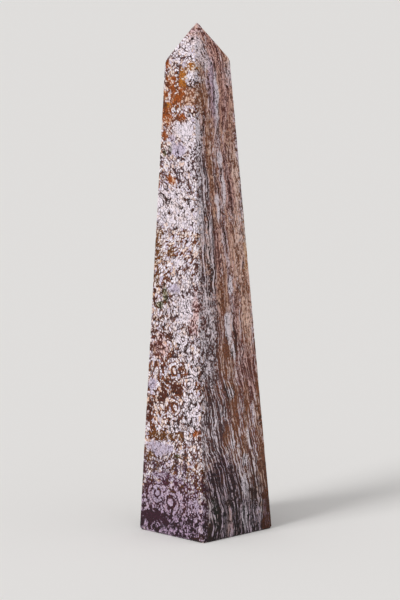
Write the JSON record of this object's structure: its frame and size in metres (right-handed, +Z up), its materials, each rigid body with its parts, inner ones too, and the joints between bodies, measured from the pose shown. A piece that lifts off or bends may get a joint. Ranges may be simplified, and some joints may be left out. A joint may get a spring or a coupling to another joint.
{
  "type": "polished stone obelisk ornament",
  "caption": "Solid four-sided tapering obelisk of polished banded jasper, ending in a low pyramid point, with eased edges and a flat foot to stand on.",
  "frame": {"origin": "centre of the foot, on the face the obelisk stands on", "axes": "+Z up, from the foot to the point; -Y towards the grained side and +X towards the banded side"},
  "size_m": [0.055, 0.055, 0.3],
  "materials": {
    "jasper": "polished banded orbicular jasper: white and lilac grains in red-brown, ochre and mauve ground"
  },
  "bodies": {
    "root": {"obelisk": "jasper"}
  },
  "joints": []
}
